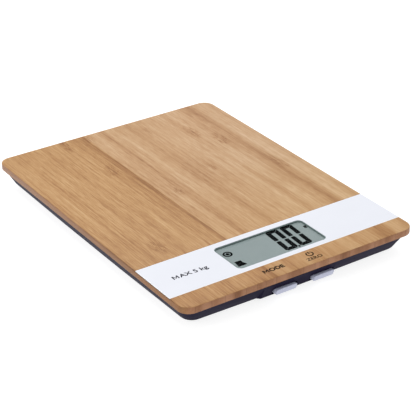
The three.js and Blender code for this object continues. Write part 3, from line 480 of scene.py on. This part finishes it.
# ---------------------------------------------------------------- flat print, painted shade and display marks
class Print:
    """Thin closed shapes lying on one level, gathered into one piece"""

    def __init__(self, z, thick=0.02):
        self.mesh = bmesh.new()
        self.low = z
        self.high = z + thick * MM

    def outline(self, points):
        """Closed shape with straight sides"""
        low, high = ([self.mesh.verts.new((x * MM, y * MM, z)) for x, y in points]
                     for z in (self.low, self.high))
        self.mesh.faces.new(high)
        self.mesh.faces.new(low[::-1])
        for i in range(len(points)):
            j = (i + 1) % len(points)
            self.mesh.faces.new((low[i], low[j], high[j], high[i]))

    def arc(self, x, y, radius, wide, start, end, steps=36):
        """Curved bar between two angles in degrees, counter-clockwise"""
        outer, inner = ([(x + r * math.cos(a), y + r * math.sin(a))
                         for a in (math.radians(start + (end - start) * i / steps)
                                   for i in range(steps + 1))]
                        for r in (radius, radius - wide))
        self.outline(outer + inner[::-1])

    def band(self, outer, inner):
        """Closed band between two outlines of equally many points"""
        loops = [[self.mesh.verts.new((x * MM, y * MM, z)) for x, y in points]
                 for points, z in ((outer, self.low), (outer, self.high),
                                   (inner, self.high), (inner, self.low))]
        for one, other in zip(loops, loops[1:] + loops[:1]):
            for i in range(len(one)):
                j = (i + 1) % len(one)
                self.mesh.faces.new((one[i], one[j], other[j], other[i]))

    def border(self, low, high, corner, inward, outward):
        """Band along the edge of a rounded rectangle, reaching inwards and outwards from it"""
        rings = []
        for grow in (outward, -inward):
            radius = max(corner + grow, 0.3)
            ring = []
            for turn, (sx, sy) in enumerate(((1, 1), (-1, 1), (-1, -1), (1, -1))):
                cx = (high[0] if sx > 0 else low[0]) + sx * (grow - radius)
                cy = (high[1] if sy > 0 else low[1]) + sy * (grow - radius)
                for step in range(7):
                    a = math.radians(90 * turn + 15 * step)
                    ring.append((cx + radius * math.cos(a), cy + radius * math.sin(a)))
            rings.append(ring)
        self.band(*rings)

    def ring(self, x, y, radius, wide, steps=72):
        turns = [2 * math.pi * i / steps for i in range(steps)]
        self.band(*([(x + r * math.cos(a), y + r * math.sin(a)) for a in turns]
                    for r in (radius, radius - wide)))

    def disc(self, x, y, radius, steps=24):
        self.outline([(x + radius * math.cos(2 * math.pi * i / steps),
                       y + radius * math.sin(2 * math.pi * i / steps)) for i in range(steps)])

    def bar(self, x, y, wide, high):
        self.outline([(x - wide / 2, y - high / 2), (x + wide / 2, y - high / 2),
                      (x + wide / 2, y + high / 2), (x - wide / 2, y + high / 2)])

    def words(self, text, left, right, base, high, weight=0.0):
        """Plain lettering fitted between two x positions, `high` from base to cap line"""
        curve = bpy.data.curves.new("words", "FONT")
        curve.body = text
        curve.resolution_u = 6
        curve.extrude = 0.5
        curve.offset = weight
        made = bpy.data.objects.new("words", curve)
        scene.collection.objects.link(made)
        mesh = bpy.data.meshes.new_from_object(made.evaluated_get(
            bpy.context.evaluated_depsgraph_get()))
        bpy.data.objects.remove(made)
        letters = bmesh.new()
        letters.from_mesh(mesh)
        bmesh.ops.remove_doubles(letters, verts=letters.verts, dist=1e-5)
        xs = [v.co.x for v in letters.verts]
        wide = (right - left) * MM / (max(xs) - min(xs))
        tall = high * MM / CAP_HEIGHT
        for v in letters.verts:
            v.co = (left * MM + (v.co.x - min(xs)) * wide, base * MM + v.co.y * tall,
                    self.low if v.co.z < 0 else self.high)
        letters.to_mesh(mesh)
        self.mesh.from_mesh(mesh)
        letters.free()

    def letter_m(self, left, right, base, high, stroke):
        """A plain bold M"""
        wide, slant = right - left, 1.45 * stroke
        middle, valley = wide / 2, high * 0.12
        half = [(0, 0), (0, high), (stroke * 1.1, high), (middle, valley + slant)]
        inner = [(middle, valley), (stroke, high - slant), (stroke, 0)]
        mirrored = [[(wide - u, v) for u, v in reversed(part)] for part in (half, inner)]
        shape = half + mirrored[0][1:] + mirrored[1] + inner[1:]
        self.outline([(left + u, base + v) for u, v in shape])

    def piece(self, name, material, slot, body="scale_body"):
        mesh = bpy.data.meshes.new(name)
        bmesh.ops.recalc_face_normals(self.mesh, faces=self.mesh.faces)
        self.mesh.to_mesh(mesh)
        made = bpy.data.objects.new(name, mesh)
        scene.collection.objects.link(made)
        mesh.materials.append(material)
        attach(made, body)


CAP_HEIGHT = 0.695                    # of Blender's own font at size 1
PRINT_LIFT = 0.004 * MM               # print lies this far above what it is printed on

# Labels on the wood in front of the strip, and the capacity on the strip
label_ink = print_and_shade("label_ink", (0.016, 0.012, 0.010))
MODE_LINE = (-108.3, 3.2)             # base line and letter height, mm
ZERO_LINE = (-111.3, 2.7)
CAPACITY_LINE = (-83.9, 3.5)
POWER = (11.2, -104.8)                # centre of the power symbol
POWER_STROKE = 0.85
labels = Print(TOP + PRINT_LIFT)
labels.letter_m(-24.2, -20.5, *MODE_LINE, 0.8)
labels.words("ODE", -19.9, -9.3, *MODE_LINE, 0.045)
labels.words("ZERO", 5.3, 16.7, *ZERO_LINE, 0.02)
labels.arc(*POWER, 2.6, POWER_STROKE, 122, 418)
labels.bar(POWER[0], POWER[1] + 1.4, POWER_STROKE, 2.4)
labels.piece("button_labels", label_ink, "bamboo")

capacity = Print(panel_high.z + PRINT_LIFT)
capacity.letter_m(-71.6, -67.6, *CAPACITY_LINE, 0.75)
capacity.words("AX 5 kg", -67.0, -47.4, *CAPACITY_LINE, 0.02)
capacity.piece("capacity_label", print_and_shade("capacity_ink", (0.02, 0.02, 0.028)), "panel_white")

# Painted shade round the window: a soft green band in place of the dark shade under the strip's
# edge
SHADE_BAND_IN, SHADE_BAND_OUT = 0.65, 0.8         # how far it shows and how far it runs under the strip
mask = Print(window_high.z + PRINT_LIFT)
mask.border([glass_low[i] / MM + OPENING_INSET[i] for i in (0, 1)],
            [glass_high[i] / MM - OPENING_INSET[i] for i in (0, 1)],
            OPENING_CORNER, SHADE_BAND_IN, SHADE_BAND_OUT)
mask.piece("window_painted_shade", print_and_shade("painted_shade_green", srgb(96, 112, 110)), "lcd")

# Display: two digits, a decimal point, a unit and two small symbols
# A digit's measures in mm, and its lean in mm to the right for each mm up
DIGIT = {"wide": 9.0, "high": 25.5, "bar": 3.1, "gap": 0.08, "cut": 1.2, "lean": 0.06}
DIGIT_LEFTS = (3.25, 14.1)
DIGIT_BASE = -92.9
WAIST = 0.45                          # half the gap left by the unlit middle bar, mm


def place(print_, shape, left):
    print_.outline([(left + u + DIGIT["lean"] * v, DIGIT_BASE + v) for u, v in shape])


def digit(print_, left):
    """A seven-bar zero: six lit bars with mitred ends"""
    w, h, t, g, c = (DIGIT[k] for k in ("wide", "high", "bar", "gap", "cut"))
    low = h / 2 + WAIST
    mitre = c / 2
    top = [(mitre + g, h - mitre), (c, h), (w - c, h), (w - mitre - g, h - mitre),
           (w - t - g, h - t), (t + g, h - t)]
    upper = [(mitre, h - mitre - g), (0, h - c), (0, low + 0.4), (t * 0.4, low),
             (t * 0.7, low), (t, low + 0.4), (t, h - t - g)]
    for turned in (False, True):
        for flipped in (False, True):
            shape = upper
            if turned:
                shape = [(u, h - v) for u, v in shape]
            if flipped:
                shape = [(w - u, v) for u, v in shape]
            place(print_, shape, left)
        place(print_, [(u, h - v) for u, v in top] if turned else top, left)


POINT = (13.0, -92.3)                 # centre of the decimal point
UNIT_LINE = (-75.6, 2.8)              # base line and letter height of the unit
STABLE = (-28.4, -75.8)               # centre of the ring with a dot
marks = Print(glass_high.z + PRINT_LIFT, 0.03)
for left in DIGIT_LEFTS:
    digit(marks, left)
marks.bar(*POINT, 1.6, 1.7)
marks.words("g", 29.1, 31.5, *UNIT_LINE, 0.04)
marks.ring(*STABLE, 3.1, 1.25)
marks.disc(*STABLE, 1.35)
# the weight symbol
marks.outline([(-31.4, -91.8), (-25.1, -91.8), (-25.5, -90.1), (-26.2, -88.2), (-26.0, -85.9),
               (-30.6, -85.9), (-30.7, -88.2), (-31.0, -90.1)])
marks.piece("display_marks", print_and_shade("display_ink", (0.0015, 0.0015, 0.002)), "lcd")


# ---------------------------------------------------------------- stage, light and camera
FLOOR_REACH = 6.0                     # metres each way
FLOOR_GREY = 0.35
FLOOR_GLOW = 0.85                     # keeps the floor near white, as in the photo
HORIZON, ZENITH = 0.3, 0.9            # strength of the room light
CAMERA_LENS = 132.03                  # mm, on a 36 mm sensor
CAMERA_PLACE = (-0.47586, -0.72988, 0.47663)
CAMERA_TURN = (61.659, 0.607, -33.879)


def stage_floor():
    """Pale floor, clear when seen from below, so that the underside can be looked at"""
    mesh = bpy.data.meshes.new("floor")
    r = FLOOR_REACH
    mesh.from_pydata([(-r, -r, 0), (r, -r, 0), (r, r, 0), (-r, r, 0)], [], [(0, 1, 2, 3)])
    floor = bpy.data.objects.new("floor", mesh)
    scene.collection.objects.link(floor)
    m = Material("floor_white", (FLOOR_GREY,) * 3, 0.9, Specular_IOR_Level=0.0,
                 Emission_Color=(1, 1, 1), Emission_Strength=FLOOR_GLOW)
    clear = m.add("ShaderNodeBsdfTransparent")
    blend = m.add("ShaderNodeMixShader")
    m.link(m.add("ShaderNodeNewGeometry").outputs["Backfacing"], blend.inputs[0])
    m.link(m.shader.outputs[0], blend.inputs[1])
    m.link(clear.outputs[0], blend.inputs[2])
    m.link(blend.outputs[0], m.output.inputs["Surface"])
    mesh.materials.append(m.data)


def softbox(name, where, aim, size, power):
    light = bpy.data.lights.new(name, "AREA")
    light.shape = "RECTANGLE"
    light.size, light.size_y = size
    light.energy = power
    made = bpy.data.objects.new(name, light)
    scene.collection.objects.link(made)
    made.location = where
    made.rotation_euler = (Vector(aim) - Vector(where)).to_track_quat("-Z", "Y").to_euler()


def studio(horizon, zenith):
    """Room light that brightens from the horizon to straight up"""
    world = bpy.data.worlds.new("studio")
    world.use_nodes = True
    scene.world = world
    tree = world.node_tree
    up = tree.nodes.new("ShaderNodeSeparateXYZ")
    tree.links.new(tree.nodes.new("ShaderNodeTexCoord").outputs["Generated"], up.inputs[0])
    rise = tree.nodes.new("ShaderNodeMapRange")
    rise.interpolation_type = "SMOOTHSTEP"
    tree.links.new(up.outputs["Z"], rise.inputs[0])
    for number, socket in zip((0.1, 0.9, horizon, zenith), rise.inputs[1:5]):
        socket.default_value = number
    tree.links.new(rise.outputs[0], tree.nodes["Background"].inputs["Strength"])
    tree.nodes["Background"].inputs["Color"].default_value = (1, 1, 1, 1)


stage_floor()
softbox("key", (0.1, 0.9, 1.7), (0, 0, 0), (1.8, 1.4), 30)
softbox("fill", (-1.7, 0.1, 0.8), (0, 0, 0), (1.2, 1.0), 8)
studio(HORIZON, ZENITH)

camera = bpy.data.objects.new("camera", bpy.data.cameras.new("camera"))
scene.collection.objects.link(camera)
camera.data.lens = CAMERA_LENS
camera.data.sensor_width = 36
camera.data.clip_start = 0.05
camera.location = CAMERA_PLACE
camera.rotation_euler = [math.radians(a) for a in CAMERA_TURN]
scene.camera = camera
scene.view_settings.view_transform = "Standard"
